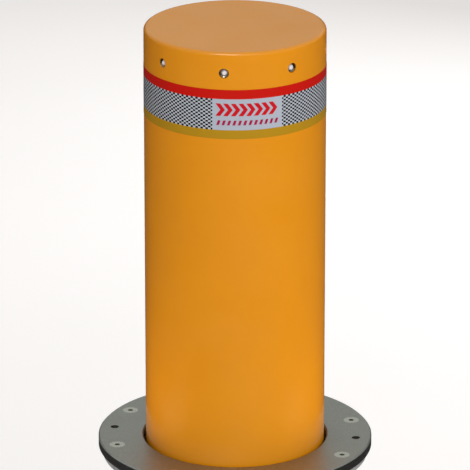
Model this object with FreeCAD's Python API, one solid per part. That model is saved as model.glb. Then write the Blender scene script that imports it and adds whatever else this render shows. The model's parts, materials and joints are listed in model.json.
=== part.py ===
"""Retractable hydraulic bollard, in millimetres, +Z up, front towards -Y.

The origin lies on the post's axis at finished ground level, which is the top face of the ground ring.
The post is modelled raised. It sinks by `travel` into the casing, until its head is just proud of the ring.
Each function below makes one sub-part and returns its solids; `SUBPARTS` at the end names them.
"""

import FreeCAD, Part
import math
import os

Vector = FreeCAD.Vector
UP = Vector(0, 0, 1)

# ---------------------------------------------------------------- driving dimensions
# moving post
POST_RADIUS = 110.0
POST_WALL = 8.0
EXPOSED_HEIGHT = 525.0          # head's top above ground when raised
LOWERED_PROUD = 3.0             # head's top above ground when lowered

# head cap, collar and warning band
CAP_HEIGHT = 45.5
CAP_TOP_THICKNESS = 10.0
CAP_EDGE_RADIUS = 4.5
COLLAR_WALL = 7.0
COLLAR_BELOW_JOINT = 18.0
COLLAR_ABOVE_JOINT = 11.0
COLLAR_FIT_GAP = 0.1
CAP_SEAL_SECTION = 2.6          # O-ring cord diameter
CAP_SEAL_SINK = 1.2             # O-ring centre line below the collar's face
SET_SCREW_RADIUS = 2.5
SET_SCREW_ABOVE_JOINT = 3.6
SET_SCREW_ANGLES = (30.0, 90.0, 150.0)      # all on the rear half
BAND_WIDTH = 61.0
BAND_THICKNESS = 0.3

# warning lamps
LAMP_COUNT = 8
LAMP_ABOVE_JOINT = 20.2         # from the joint between cap and post
LAMP_POCKET_RADIUS = 6.0
LAMP_POCKET_DEPTH = 3.0
LAMP_RECESS = 0.4               # lamp's tip below the post's surface
LAMP_RIM = 0.7                  # bezel's flat rim
LAMP_RIM_HEIGHT = 1.6
LAMP_BARREL_RADIUS = 4.4
LAMP_BARREL_BEHIND_CAP = 6.0
LAMP_RADIUS = 3.3               # the LED itself
LAMP_NUT_FLATS = 11.0
LAMP_NUT_THICKNESS = 3.5

# lamp board
BOARD_TO_LAMPS = 14.0
BOARD_INNER = 46.0
BOARD_THICKNESS = 1.6
BOARD_BELOW_TOP = 24.0
STANDOFF_RADIUS = 3.5
STANDOFF_COUNT = 4
BOARD_SCREW_RADIUS = 1.5
BOARD_SCREW_GRIP = 8.0          # how far a board screw goes into its standoff
BOARD_SOCKET_HEIGHT = 8.0
LAMP_LEAD_RADIUS = 1.1
LAMP_LEAD_LIFT = 6.0            # a lamp lead stands this far over the board before it turns outwards

# ground ring, seal and guides
RING_REACH = 32.0               # ring's edge beyond the casing wall
RING_BORE_GAP = 3.0
RING_THICKNESS = 12.0
RING_CHAMFER = 1.5
RING_OVERHANG = 5.0             # ring's edge beyond the casing flange
RING_SCREW_RADIUS = 5.0
RING_SCREW_HEAD = 9.5
RING_SCREW_LENGTH = 21.0
RING_SCREW_COUNT = 8
LIFTING_HOLE_RADIUS = 5.1
SEAL_THICKNESS = 5.0
SEAL_LIP_GAP = 0.3
CLAMP_THICKNESS = 4.0
BUSH_CLEARANCE = 0.4            # bush bore to warning band, radial
BUSH_WALL = 7.3
BUSH_LENGTH = 45.0
SHOULDER_HEIGHT = 6.0
SHOULDER_RELIEF = 3.3           # shoulder bore to bush bore, radial
SLEEVE_WALL = 4.0
SLEEVE_LENGTH = 179.0
SLEEVE_FLANGE = 6.0
SLEEVE_SCREW_RADIUS = 2.5
SLEEVE_SCREW_COUNT = 6
STOP_BUMPER_THICKNESS = 12.0
REST_GAP = 0.3                  # between a bumper and what it stops

# casing
CASING_GAP = 22.5               # post to casing wall
CASING_WALL = 4.0
CASING_SECTIONS = 3             # rolled sections welded end to end
CASING_FLANGE_THICKNESS = 10.0
SLIDE_GAP = 0.3                 # foot guide ring to casing wall
DROP_IN_GAP = 1.0               # parts lifted out with the ring, to casing wall
BASE_LIP = 13.5
BASE_THICKNESS = 10.0
SUMP_HEIGHT = 60.0              # base plate to the lowered foot
LUG_REACH = 52.0
LUG_WIDTH = 50.0
LUG_THICKNESS = 8.0
LUG_HOLE_REACH = 33.5           # hole's centre from the casing wall
LUG_HOLE_RADIUS = 7.0
LUG_DEPTH = 330.0
LUG_COUNT = 4
DRAIN_ANGLE = 0.0
CONDUIT_ANGLE = 90.0
SOCKET_BORE = 25.2              # takes a 50 mm duct or drain pipe
SOCKET_DEPTH = 40.0
STUB_BORE = 22.0
STUB_WALL = 3.0
STUB_REACH = 78.0
STUB_ABOVE_FLOOR = 3.0
STRAINER_THICKNESS = 2.0
STRAINER_HOLE_RADIUS = 2.6
STRAINER_PITCH = 7.5
STRAINER_EDGE = 1.5

# foot of the post and its rails
FOOT_FLANGE_THICKNESS = 12.0
FOOT_FLANGE_GAP = 3.5           # foot flange to casing wall
FOOT_GUIDE_HEIGHT = 36.0
FOOT_GUIDE_INNER_GAP = 2.0      # guide ring's bore outside the post's bore
FOOT_SCREW_COUNT = 6
FOOT_SCREW_RADIUS = 3.0
RAIL_DEPTH = 9.0
RAIL_WIDTH = 16.0
RAIL_SIDE_GAP = 0.5
RAIL_ANGLES = (0.0, 180.0)
RAIL_SCREW_RADIUS = 3.0
LANDING_RADIUS = 14.0
LANDING_TIP_RADIUS = 12.0
LANDING_STUD_RADIUS = 4.0
LANDING_ANGLES = (45.0, 135.0, 225.0, 315.0)

# ram
RAM_OUTER = 31.5
RAM_BORE = 25.0
ROD_RADIUS = 14.0
PISTON_LENGTH = 35.0
PISTON_GAP = 0.05
PISTON_END_GAP = 5.0
GLAND_LENGTH = 60.0
GLAND_HEAD = 20.0
RAM_FREE_SPACE = 60.0           # gland to the lowered crosshead nut
RAM_FLANGE_EDGE = 8.5           # screw's centre to the square flange's edges
RAM_FLANGE_THICKNESS = 16.0
RAM_PORT_BODY = 30.0
RAM_SCREW_OFFSET = 7.5          # screw circle outside the barrel
RAM_SCREW_RADIUS = 3.0
ROD_THREAD_RADIUS = 11.0
ROD_NUT_FLATS = 36.0
ROD_NUT_HEIGHT = 18.0
CROSSHEAD_THICKNESS = 15.0
CROSSHEAD_BELOW_COLLAR = 5.0
LIGHTENING_RADIUS = 20.0
LIGHTENING_ANGLES = (-18.0, 54.0, 126.0, 198.0)
PORT_RADIUS = 5.0
HOSE_RADIUS = 6.0
NIPPLE_LENGTH = 20.0
COUPLING_LENGTH = 24.0

# electrics at the bottom, all inside the post's bore
BOX_TO_POST = 3.0               # box corners to the post's bore
BOX_DEPTH = 44.0
BOX_WIDTH = 60.0
BOX_HEIGHT = 36.0
BOX_WALL = 3.0
BOX_LID = 4.0
BOX_SCREW_RADIUS = 1.75
BOX_SCREW_GRIP = 12.0
GLAND_BORE = 0.2                # glands grip their cable with this gap
GLAND_NUT_RADIUS = 8.0
GLAND_NUT_LENGTH = 12.0
CABLE_RADIUS = 4.0
SENSOR_CABLE_RADIUS = 2.5
COIL_RADIUS = 11.0
COIL_LEAD_RADIUS = 3.0
GROMMET_LIP = 3.0
MAST_SIDE = 20.0
MAST_WALL = 2.0
MAST_FOOT = 44.0
MAST_FOOT_THICKNESS = 5.0
SENSOR_THICKNESS = 7.0
SENSOR_GAP = 2.0
MAGNET_THICKNESS = 8.0
SENSOR_WIDTH = 16.0
SENSOR_HEIGHT = 30.0
MAGNET_ABOVE_FOOT = 20.0

# ---------------------------------------------------------------- derived radii and levels
travel = EXPOSED_HEIGHT - LOWERED_PROUD
post_inner = POST_RADIUS - POST_WALL
head_top = EXPOSED_HEIGHT
joint_z = head_top - CAP_HEIGHT
collar_low = joint_z - COLLAR_BELOW_JOINT
collar_high = joint_z + COLLAR_ABOVE_JOINT
crosshead_top = collar_low - CROSSHEAD_BELOW_COLLAR
crosshead_low = crosshead_top - CROSSHEAD_THICKNESS
lamp_z = joint_z + LAMP_ABOVE_JOINT
board_z = head_top - BOARD_BELOW_TOP
cap_ceiling = head_top - CAP_TOP_THICKNESS
lamp_back = post_inner - LAMP_BARREL_BEHIND_CAP
board_outer = lamp_back - BOARD_TO_LAMPS
standoff_circle = (BOARD_INNER + board_outer) / 2

ring_low = -RING_THICKNESS
seal_low = ring_low - SEAL_THICKNESS
clamp_low = seal_low - CLAMP_THICKNESS
sleeve_flange_low = clamp_low - SLEEVE_FLANGE
sleeve_low = clamp_low - SLEEVE_LENGTH
stop_low = sleeve_low - STOP_BUMPER_THICKNESS
foot_top = stop_low - REST_GAP
foot_flange_low = foot_top - FOOT_FLANGE_THICKNESS
foot_low = foot_flange_low - FOOT_GUIDE_HEIGHT
landing_top = foot_low - travel - REST_GAP
floor_z = landing_top - SUMP_HEIGHT
base_low = floor_z - BASE_THICKNESS
casing_flange_low = ring_low - CASING_FLANGE_THICKNESS

casing_inner = POST_RADIUS + CASING_GAP
casing_outer = casing_inner + CASING_WALL
drop_in_radius = casing_inner - DROP_IN_GAP
ring_outer = casing_outer + RING_REACH
casing_flange_outer = ring_outer - RING_OVERHANG
ring_screw_circle = (casing_outer + casing_flange_outer) / 2
base_radius = casing_outer + BASE_LIP
lug_hole_circle = casing_outer + LUG_HOLE_REACH
band_radius = POST_RADIUS + BAND_THICKNESS
bush_inner = band_radius + BUSH_CLEARANCE
bush_outer = bush_inner + BUSH_WALL
sleeve_outer = bush_outer + SLEEVE_WALL
shoulder_radius = bush_inner + SHOULDER_RELIEF
sleeve_screw_circle = (sleeve_outer + drop_in_radius) / 2
foot_guide_outer = casing_inner - SLIDE_GAP
foot_guide_inner = post_inner + FOOT_GUIDE_INNER_GAP
foot_flange_outer = casing_inner - FOOT_FLANGE_GAP
foot_screw_circle = (POST_RADIUS + foot_flange_outer) / 2
landing_circle = (foot_guide_inner + foot_guide_outer) / 2
rail_inner = casing_inner - RAIL_DEPTH
rail_low = landing_top + 6.0
rail_high = stop_low - 4.0
stub_outer = SOCKET_BORE + STUB_WALL
stub_z = floor_z + STUB_ABOVE_FLOOR + stub_outer
stub_end = casing_outer + STUB_REACH
socket_floor = stub_end - SOCKET_DEPTH

gland_top = crosshead_low - travel - ROD_NUT_HEIGHT - RAM_FREE_SPACE
barrel_top = gland_top - GLAND_HEAD
gland_low = gland_top - GLAND_LENGTH
piston_top = gland_low - PISTON_END_GAP
piston_low = piston_top - PISTON_LENGTH
ram_plug_top = piston_low - travel - PISTON_END_GAP
ram_flange_top = floor_z + RAM_FLANGE_THICKNESS
barrel_low = ram_flange_top + RAM_PORT_BODY
ram_screw_circle = RAM_OUTER + RAM_SCREW_OFFSET
ram_flange_half = ram_screw_circle / math.sqrt(2) + RAM_FLANGE_EDGE
port_z = (ram_flange_top + barrel_low) / 2
rod_top = crosshead_top + ROD_NUT_HEIGHT + 2.0
hose_end = (-7.0, socket_floor - 1.0 - COUPLING_LENGTH, stub_z - 6.0)
cable_end = (10.0, socket_floor - 1.0 - COUPLING_LENGTH, stub_z - 7.0)

box_centre = math.sqrt((post_inner - BOX_TO_POST)**2 - (BOX_WIDTH / 2)**2) - BOX_DEPTH / 2
mast_centre = post_inner - MAGNET_THICKNESS - SENSOR_GAP - SENSOR_THICKNESS - MAST_SIDE / 2
box_top = floor_z + BOX_HEIGHT
lid_top = box_top + BOX_LID
box_gland_z = floor_z + BOX_HEIGHT / 2
coil_low = lid_top + GLAND_NUT_LENGTH
raised_magnet_z = foot_top + MAGNET_ABOVE_FOOT
mast_top = raised_magnet_z + SENSOR_HEIGHT


# ---------------------------------------------------------------- shape helpers
def revolved(*profile):
    """A solid of revolution about Z from its (radius, z) corners."""
    corners = [Vector(r, 0, z) for r, z in profile]
    return Part.Face(Part.makePolygon(corners + corners[:1])).revolve(Vector(), UP, 360)


def disc(radius, low, high, x=0.0, y=0.0):
    return Part.makeCylinder(radius, high - low, Vector(x, y, low), UP)


def ring(inner, outer, low, high):
    return disc(outer, low, high).cut(disc(inner, low, high))


def spoke(radius, start, end, z, angle=0.0):
    """A round bar that points away from the axis, from start to end."""
    bar = Part.makeCylinder(radius, end - start, Vector(start, 0, z), Vector(1, 0, 0))
    return turn(bar, angle)


def turn(shape, angle):
    """A copy of shape turned about the axis."""
    copy = shape.copy()
    copy.rotate(Vector(), UP, angle)
    return copy


def block(x_low, x_high, y_low, y_high, z_low, z_high):
    return Part.makeBox(x_high - x_low, y_high - y_low, z_high - z_low, Vector(x_low, y_low, z_low))


def hexagon(flats, low, high, x=0.0, y=0.0):
    """A hexagonal prism along Z, measured across its flats."""
    corner = flats / math.sqrt(3)
    points = [
        Vector(x + corner * math.cos(math.radians(60 * k)), y + corner * math.sin(math.radians(60 * k)), low)
        for k in range(7)
    ]
    return Part.Face(Part.makePolygon(points)).extrude(Vector(0, 0, high - low))


def even_angles(count, first=0.0):
    return [first + 360.0 * k / count for k in range(count)]


def all_round(shape, angles):
    return [turn(shape, angle) for angle in angles]


def cut_all(shape, tools):
    for tool in tools:
        shape = shape.cut(tool)
    return shape


def placed(shape, x, y, z):
    copy = shape.copy()
    copy.translate(Vector(x, y, z))
    return copy


def laid_along_x(shape):
    """A shape made along Z, turned so that its +Z points away from the axis along +X."""
    copy = shape.copy()
    copy.rotate(Vector(), Vector(0, 1, 0), 90)
    return copy


def cap_screw(radius, length):
    """A socket cap screw along Z: its head sits on z = 0, and its shank reaches down to -length."""
    head_radius, head_height = 1.6 * radius, 2.0 * radius
    head = disc(head_radius, 0, head_height).cut(hexagon(1.65 * radius, head_height / 2, head_height))
    return head.fuse(disc(radius, -length, 0)).removeSplitter()


def countersunk_screw(radius, head_radius, length):
    """A countersunk socket screw along Z whose flat head is flush with z = 0."""
    head = Part.makeCone(radius, head_radius, head_radius - radius, Vector(0, 0, radius - head_radius), UP)
    shank = disc(radius, -length, radius - head_radius)
    socket = hexagon(1.2 * radius, -0.55 * (head_radius - radius) - 1.0, 0)
    return head.fuse(shank).removeSplitter().cut(socket)


def countersunk_hole(radius, head_radius, depth):
    head = Part.makeCone(radius, head_radius, head_radius - radius, Vector(0, 0, radius - head_radius), UP)
    return head.fuse(disc(radius, -depth, radius - head_radius))


def tube_along(points, radius, bore=0.0):
    """A round cable or hose along straight runs joined by tangent arcs, each as large as its runs allow."""
    points = [Vector(*p) for p in points]
    edges, start = [], points[0]
    for before, corner, after in zip(points, points[1:], points[2:]):
        back, ahead = (before - corner), (after - corner)
        shorter = min(back.Length, ahead.Length)
        back.normalize()
        ahead.normalize()
        half_turn = (math.pi - back.getAngle(ahead)) / 2
        tangent = 0.45 * shorter
        arc_radius = tangent / math.tan(half_turn)
        inward = back + ahead
        inward.normalize()
        first, last = corner + back * tangent, corner + ahead * tangent
        middle = corner + inward * (arc_radius / math.cos(half_turn) - arc_radius)
        edges.append(Part.LineSegment(start, first).toShape())
        edges.append(Part.Arc(first, middle, last).toShape())
        start = last
        print("bend radius %.0f mm on a cable of %.1f mm" % (arc_radius, 2 * radius))
    edges.append(Part.LineSegment(start, points[-1]).toShape())
    path = Part.Wire(edges)

    def swept(r):
        circle = Part.makeCircle(r, points[0], points[1] - points[0])
        return path.makePipeShell([Part.Wire(circle)], True, True)

    tube = swept(radius)
    if bore:
        tube = tube.cut(swept(bore))
    expected = math.pi * (radius**2 - bore**2) * path.Length
    print("cable volume is %.4f of its section times its length" % (tube.Volume / expected))
    return tube


# ---------------------------------------------------------------- casing in the ground
def stub_cutter():
    return spoke(stub_outer, casing_inner / 2, stub_end, stub_z)


def rail_screw_levels():
    return [rail_low + (rail_high - rail_low) * share for share in (0.1, 0.5, 0.9)]


def casing_tube():
    section = (casing_flange_low - floor_z) / CASING_SECTIONS
    levels = [floor_z + section * k for k in range(CASING_SECTIONS)]
    tubes = [ring(casing_inner, casing_outer, low, low + section) for low in levels]
    holes = [turn(stub_cutter(), angle) for angle in (DRAIN_ANGLE, CONDUIT_ANGLE)]
    for angle in RAIL_ANGLES:
        holes += [
            spoke(RAIL_SCREW_RADIUS, casing_inner / 2, casing_outer + 1, z, angle)
            for z in rail_screw_levels()
        ]
    return [cut_all(tube, holes) for tube in tubes]


def casing_flange():
    plate = ring(casing_inner, casing_flange_outer, casing_flange_low, ring_low)
    hole = disc(RING_SCREW_RADIUS, casing_flange_low, ring_low, ring_screw_circle)
    return [cut_all(plate, all_round(hole, ring_screw_angles()))]


def casing_base_plate():
    plate = disc(base_radius, base_low, floor_z)
    stud_hole = disc(LANDING_STUD_RADIUS, floor_z - BASE_THICKNESS * 0.8, floor_z, landing_circle)
    ram_hole = disc(RAM_SCREW_RADIUS, floor_z - BASE_THICKNESS * 0.8, floor_z, ram_screw_circle)
    return [cut_all(plate, all_round(stud_hole, LANDING_ANGLES) + all_round(ram_hole, ram_screw_angles()))]


def anchor_lugs():
    """Flat lugs with a gusset below, welded to the casing and cast into the concrete."""
    tip = casing_outer + LUG_REACH
    plate = block(0, tip, -LUG_WIDTH / 2, LUG_WIDTH / 2, -LUG_DEPTH - LUG_THICKNESS, -LUG_DEPTH)
    plate = plate.cut(disc(LUG_HOLE_RADIUS, -LUG_DEPTH - LUG_THICKNESS, -LUG_DEPTH, lug_hole_circle))
    gusset_tip = lug_hole_circle - LUG_HOLE_RADIUS - 8.0
    gusset_low = -LUG_DEPTH - LUG_THICKNESS - (gusset_tip - casing_outer)
    corners = [
        Vector(0, 0, -LUG_DEPTH - LUG_THICKNESS),
        Vector(gusset_tip, 0, -LUG_DEPTH - LUG_THICKNESS),
        Vector(casing_outer, 0, gusset_low),
        Vector(0, 0, gusset_low),
    ]
    gusset = Part.Face(Part.makePolygon(corners + corners[:1])).extrude(Vector(0, LUG_THICKNESS, 0))
    gusset.translate(Vector(0, -LUG_THICKNESS / 2, 0))
    lug = plate.fuse(gusset).cut(disc(casing_outer, gusset_low - 1, -LUG_DEPTH + 1))
    return all_round(lug, even_angles(LUG_COUNT, 45.0))


def stub():
    """A pipe stub through the casing wall along +X, with a socket for a duct in its outer end."""
    start = casing_inner / 2
    pipe = spoke(stub_outer, start, stub_end, stub_z).cut(spoke(STUB_BORE, start, stub_end, stub_z))
    inside = disc(casing_inner, stub_z - stub_outer, stub_z + stub_outer)
    return pipe.cut(spoke(SOCKET_BORE, socket_floor, stub_end, stub_z)).cut(inside)


def drain_stub():
    return [turn(stub(), DRAIN_ANGLE)]


def conduit_stub():
    return [turn(stub(), CONDUIT_ANGLE)]


def drain_strainer():
    """A perforated disc that keeps stones out of the drain, just inside the stub."""
    plate = spoke(STUB_BORE, casing_outer, casing_outer + STRAINER_THICKNESS, stub_z)
    hole = spoke(STRAINER_HOLE_RADIUS, casing_outer, casing_outer + STRAINER_THICKNESS, stub_z)
    steps = [STRAINER_PITCH * k for k in range(-3, 4)]
    room = STUB_BORE - STRAINER_HOLE_RADIUS - STRAINER_EDGE
    holes = [placed(hole, 0, y, z) for y in steps for z in steps if math.hypot(y, z) < room]
    return [turn(cut_all(plate, holes), DRAIN_ANGLE)]


# ---------------------------------------------------------------- ground ring, seal and guides
def ring_screw_angles():
    return even_angles(RING_SCREW_COUNT, 180.0 / RING_SCREW_COUNT)


def sleeve_screw_angles():
    return even_angles(SLEEVE_SCREW_COUNT, 180.0 / SLEEVE_SCREW_COUNT)


def sleeve_screw_length():
    """From the sleeve flange's underside up into the ring, stopping short of its top."""
    return 0.6 * RING_THICKNESS + SEAL_THICKNESS + CLAMP_THICKNESS + SLEEVE_FLANGE


def sleeve_screw_hole():
    top = sleeve_flange_low + sleeve_screw_length()
    return disc(SLEEVE_SCREW_RADIUS, sleeve_flange_low, top, sleeve_screw_circle)


def ground_ring():
    bore = POST_RADIUS + RING_BORE_GAP
    plate = revolved(
        (bore, ring_low),
        (ring_outer, ring_low),
        (ring_outer, -RING_CHAMFER),
        (ring_outer - RING_CHAMFER, 0),
        (bore + RING_CHAMFER, 0),
        (bore, -RING_CHAMFER),
    )
    screw_hole = placed(
        countersunk_hole(RING_SCREW_RADIUS, RING_SCREW_HEAD, RING_THICKNESS), ring_screw_circle, 0, 0
    )
    lifting_hole = disc(LIFTING_HOLE_RADIUS, ring_low, 0, ring_screw_circle)
    holes = all_round(screw_hole, ring_screw_angles()) + all_round(lifting_hole, (0.0, 180.0))
    return [cut_all(plate, holes + all_round(sleeve_screw_hole(), sleeve_screw_angles()))]


def ground_ring_screws():
    screw = countersunk_screw(RING_SCREW_RADIUS, RING_SCREW_HEAD, RING_SCREW_LENGTH)
    return all_round(placed(screw, ring_screw_circle, 0, 0), ring_screw_angles())


def wiper_seal():
    """A flat rubber ring with a lip that leans up against the post."""
    lip = band_radius + SEAL_LIP_GAP
    seal = revolved(
        (lip, ring_low - 0.8),
        (lip + 1.2, ring_low),
        (drop_in_radius, ring_low),
        (drop_in_radius, seal_low),
        (lip + 4.0, seal_low),
        (lip + 2.6, ring_low - 2.2),
    )
    return [cut_all(seal, all_round(sleeve_screw_hole(), sleeve_screw_angles()))]


def seal_clamp_ring():
    plate = ring(POST_RADIUS + RING_BORE_GAP, drop_in_radius, clamp_low, seal_low)
    return [cut_all(plate, all_round(sleeve_screw_hole(), sleeve_screw_angles()))]


def guide_sleeve():
    """A flanged sleeve hung under the ring. Two inner shoulders seat the bushes."""
    upper_seat = clamp_low - BUSH_LENGTH
    lower_seat = sleeve_low + BUSH_LENGTH
    sleeve = revolved(
        (bush_outer, clamp_low),
        (drop_in_radius, clamp_low),
        (drop_in_radius, sleeve_flange_low),
        (sleeve_outer, sleeve_flange_low),
        (sleeve_outer, sleeve_low),
        (bush_outer, sleeve_low),
        (bush_outer, lower_seat),
        (shoulder_radius, lower_seat),
        (shoulder_radius, lower_seat + SHOULDER_HEIGHT),
        (bush_outer, lower_seat + SHOULDER_HEIGHT),
        (bush_outer, upper_seat - SHOULDER_HEIGHT),
        (shoulder_radius, upper_seat - SHOULDER_HEIGHT),
        (shoulder_radius, upper_seat),
        (bush_outer, upper_seat),
    )
    return [cut_all(sleeve, all_round(sleeve_screw_hole(), sleeve_screw_angles()))]


def guide_sleeve_screws():
    screw = cap_screw(SLEEVE_SCREW_RADIUS, sleeve_screw_length())
    screw.rotate(Vector(), Vector(1, 0, 0), 180)
    return all_round(placed(screw, sleeve_screw_circle, 0, sleeve_flange_low), sleeve_screw_angles())


def bush(low):
    """A plastic guide bush with a lead-in chamfer at both ends of its bore."""
    high, lead_in = low + BUSH_LENGTH, 2.0
    return revolved(
        (bush_inner + lead_in, low),
        (bush_outer, low),
        (bush_outer, high),
        (bush_inner + lead_in, high),
        (bush_inner, high - lead_in),
        (bush_inner, low + lead_in),
    )


def upper_guide_bush():
    return [bush(clamp_low - BUSH_LENGTH)]


def lower_guide_bush():
    return [bush(sleeve_low)]


def raised_stop_bumper():
    """A rubber ring bonded under the sleeve, which the foot flange meets when the post is up."""
    return [ring(bush_inner + 2.0, sleeve_outer, stop_low, sleeve_low)]


def landing_bumpers():
    """Rubber buffers that the foot lands on, each with a stud in the base plate."""
    stem = disc(LANDING_STUD_RADIUS, floor_z - BASE_THICKNESS * 0.8, floor_z, landing_circle)
    cone = Part.makeCone(
        LANDING_RADIUS, LANDING_TIP_RADIUS, SUMP_HEIGHT, Vector(landing_circle, 0, floor_z), UP
    )
    return all_round(cone.fuse(stem), LANDING_ANGLES)


def guide_rails():
    """Bars on the casing wall that run in notches in the foot and stop the post turning."""
    bar = block(rail_inner, casing_outer, -RAIL_WIDTH / 2, RAIL_WIDTH / 2, rail_low, rail_high)
    bar = bar.common(disc(casing_inner, rail_low, rail_high))
    holes = [spoke(RAIL_SCREW_RADIUS, rail_inner + 2.0, casing_outer, z) for z in rail_screw_levels()]
    return all_round(cut_all(bar, holes), RAIL_ANGLES)


def guide_rail_screws():
    """Screws from outside the casing, each with a collar under its head that fits the round wall."""
    collar = 1.0
    shank = casing_outer - rail_inner - 2.0
    screw = laid_along_x(cap_screw(RAIL_SCREW_RADIUS, shank + collar))
    washer = laid_along_x(disc(1.6 * RAIL_SCREW_RADIUS, -collar, 0))
    screw = placed(screw.fuse(washer), casing_outer + collar, 0, 0)
    wall = disc(casing_outer, -2 * RAIL_SCREW_RADIUS, 2 * RAIL_SCREW_RADIUS)
    screw = screw.cut(wall.cut(spoke(RAIL_SCREW_RADIUS, 0, casing_outer, 0)))
    row = [placed(screw, 0, 0, z) for z in rail_screw_levels()]
    return [turn(each, angle) for angle in RAIL_ANGLES for each in row]


# ---------------------------------------------------------------- hydraulic ram
def ram_screw_angles():
    return even_angles(4, 45.0)


def ram_base():
    """The ram's foot: a square bolted flange, a body with the oil port, and a plug inside the barrel."""
    half = ram_flange_half
    flange = block(-half, half, -half, half, floor_z, ram_flange_top)
    corners = [e for e in flange.Edges if e.BoundBox.ZLength > RAM_FLANGE_THICKNESS / 2]
    flange = flange.makeFillet(RAM_FLANGE_EDGE, corners)
    body = disc(RAM_OUTER, ram_flange_top, barrel_low).fuse(disc(RAM_BORE, barrel_low, ram_plug_top))
    foot = flange.fuse(body).removeSplitter()
    port = spoke(PORT_RADIUS, 0, RAM_OUTER, port_z, CONDUIT_ANGLE)
    gallery = disc(PORT_RADIUS * 0.8, port_z, ram_plug_top)
    holes = all_round(disc(RAM_SCREW_RADIUS, floor_z, ram_flange_top, ram_screw_circle), ram_screw_angles())
    return [cut_all(foot, [port, gallery] + holes)]


def ram_base_screws():
    screw = cap_screw(RAM_SCREW_RADIUS, RAM_FLANGE_THICKNESS + BASE_THICKNESS * 0.8)
    return all_round(placed(screw, ram_screw_circle, 0, ram_flange_top), ram_screw_angles())


def ram_barrel():
    return [ring(RAM_BORE, RAM_OUTER, barrel_low, barrel_top)]


def ram_gland():
    """The barrel's head: screwed in, with two spanner flats, a bore for the rod and a wiper seat."""
    wiper_seat = ROD_RADIUS + 5.0
    gland = revolved(
        (ROD_RADIUS + PISTON_GAP, gland_low),
        (RAM_BORE, gland_low),
        (RAM_BORE, barrel_top),
        (RAM_OUTER + 1.5, barrel_top),
        (RAM_OUTER + 1.5, gland_top - 2.0),
        (RAM_OUTER - 0.5, gland_top),
        (wiper_seat, gland_top),
        (wiper_seat, gland_top - 6.0),
        (ROD_RADIUS + PISTON_GAP, gland_top - 6.0),
    )
    reach = RAM_OUTER + 5.0
    flat = block(RAM_OUTER - 1.0, reach, -reach, reach, barrel_top + 4.0, gland_top)
    return [cut_all(gland, all_round(flat, (0.0, 180.0)))]


def rod_wiper():
    """A rubber wiper in the gland's seat, clear of the rod."""
    lip = ROD_RADIUS + REST_GAP
    low = gland_top - 6.0
    wiper = revolved(
        (lip + 1.0, low),
        (ROD_RADIUS + 5.0, low),
        (ROD_RADIUS + 5.0, gland_top),
        (lip + 2.5, gland_top),
        (lip, gland_top + 2.5),
    )
    return [wiper]


def piston_rod():
    """A chromed rod with a threaded nose at each end, one for the piston and one for the crosshead."""
    rod = revolved(
        (0, piston_low),
        (ROD_THREAD_RADIUS, piston_low),
        (ROD_THREAD_RADIUS, piston_top),
        (ROD_RADIUS, piston_top),
        (ROD_RADIUS, crosshead_low - ROD_NUT_HEIGHT),
        (ROD_THREAD_RADIUS, crosshead_low - ROD_NUT_HEIGHT),
        (ROD_THREAD_RADIUS, rod_top - 1.5),
        (ROD_THREAD_RADIUS - 1.5, rod_top),
        (0, rod_top),
    )
    return [rod]


def piston_grooves():
    """(low, high) of each seal groove on the piston."""
    height = PISTON_LENGTH * 0.17
    return [(piston_low + PISTON_LENGTH * share, piston_low + PISTON_LENGTH * share + height)
            for share in (0.2, 0.6)]


def piston():
    outer = RAM_BORE - PISTON_GAP
    body = ring(ROD_THREAD_RADIUS, outer, piston_low, piston_top)
    return [cut_all(body, [ring(outer - 3.5, outer + 1, low, high) for low, high in piston_grooves()])]


def piston_seals():
    outer = RAM_BORE - PISTON_GAP
    return [ring(outer - 3.5, outer, low, high) for low, high in piston_grooves()]


def crosshead():
    """The plate welded across the post that the rod lifts, lightened by round holes."""
    plate = disc(post_inner, crosshead_low, crosshead_top)
    plate = plate.cut(disc(ROD_THREAD_RADIUS, crosshead_low, crosshead_top))
    plate = plate.cut(disc(grommet_hole(), crosshead_low, crosshead_top, 0, -box_centre))
    hole_circle = (ROD_NUT_FLATS / 2 + post_inner) / 2 + 1.0
    light = disc(LIGHTENING_RADIUS, crosshead_low, crosshead_top, hole_circle)
    return [cut_all(plate, all_round(light, LIGHTENING_ANGLES))]


def rod_nuts():
    def nut(low):
        body = hexagon(ROD_NUT_FLATS, low, low + ROD_NUT_HEIGHT)
        return body.cut(disc(ROD_THREAD_RADIUS, low, low + ROD_NUT_HEIGHT))

    return [nut(crosshead_top), nut(crosshead_low - ROD_NUT_HEIGHT)]


def nipple_end():
    return RAM_OUTER + NIPPLE_LENGTH


def hose_nipple():
    """The steel adaptor between the ram's port and the hose."""
    thread = spoke(PORT_RADIUS, RAM_OUTER - 10.0, RAM_OUTER, port_z)
    nut = laid_along_x(hexagon(17.0, RAM_OUTER, RAM_OUTER + 8.0))
    nut.translate(Vector(0, 0, port_z))
    ferrule = spoke(HOSE_RADIUS + 1.6, RAM_OUTER + 8.0, nipple_end(), port_z)
    bore = spoke(PORT_RADIUS / 2, RAM_OUTER - 10.0, nipple_end(), port_z)
    return [turn(thread.fuse(nut).fuse(ferrule).cut(bore), CONDUIT_ANGLE)]


def pressure_hose():
    """From the ram's port under the foot into the conduit stub, in one lazy S."""
    x, y, z = hose_end
    start = nipple_end()
    route = [
        (0, start, port_z),
        (0, start + 0.28 * (y - start), port_z),
        (x * 0.45, start + 0.55 * (y - start), port_z + 0.7 * (z - port_z)),
        (x, start + 0.8 * (y - start), z),
        hose_end,
    ]
    return [tube_along(route, HOSE_RADIUS)]


def along_y(shape, x, y, z):
    """A shape made along Z from 0, laid so that it points to +Y from (x, y, z)."""
    copy = shape.copy()
    copy.rotate(Vector(), Vector(1, 0, 0), -90)
    copy.translate(Vector(x, y, z))
    return copy


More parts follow.
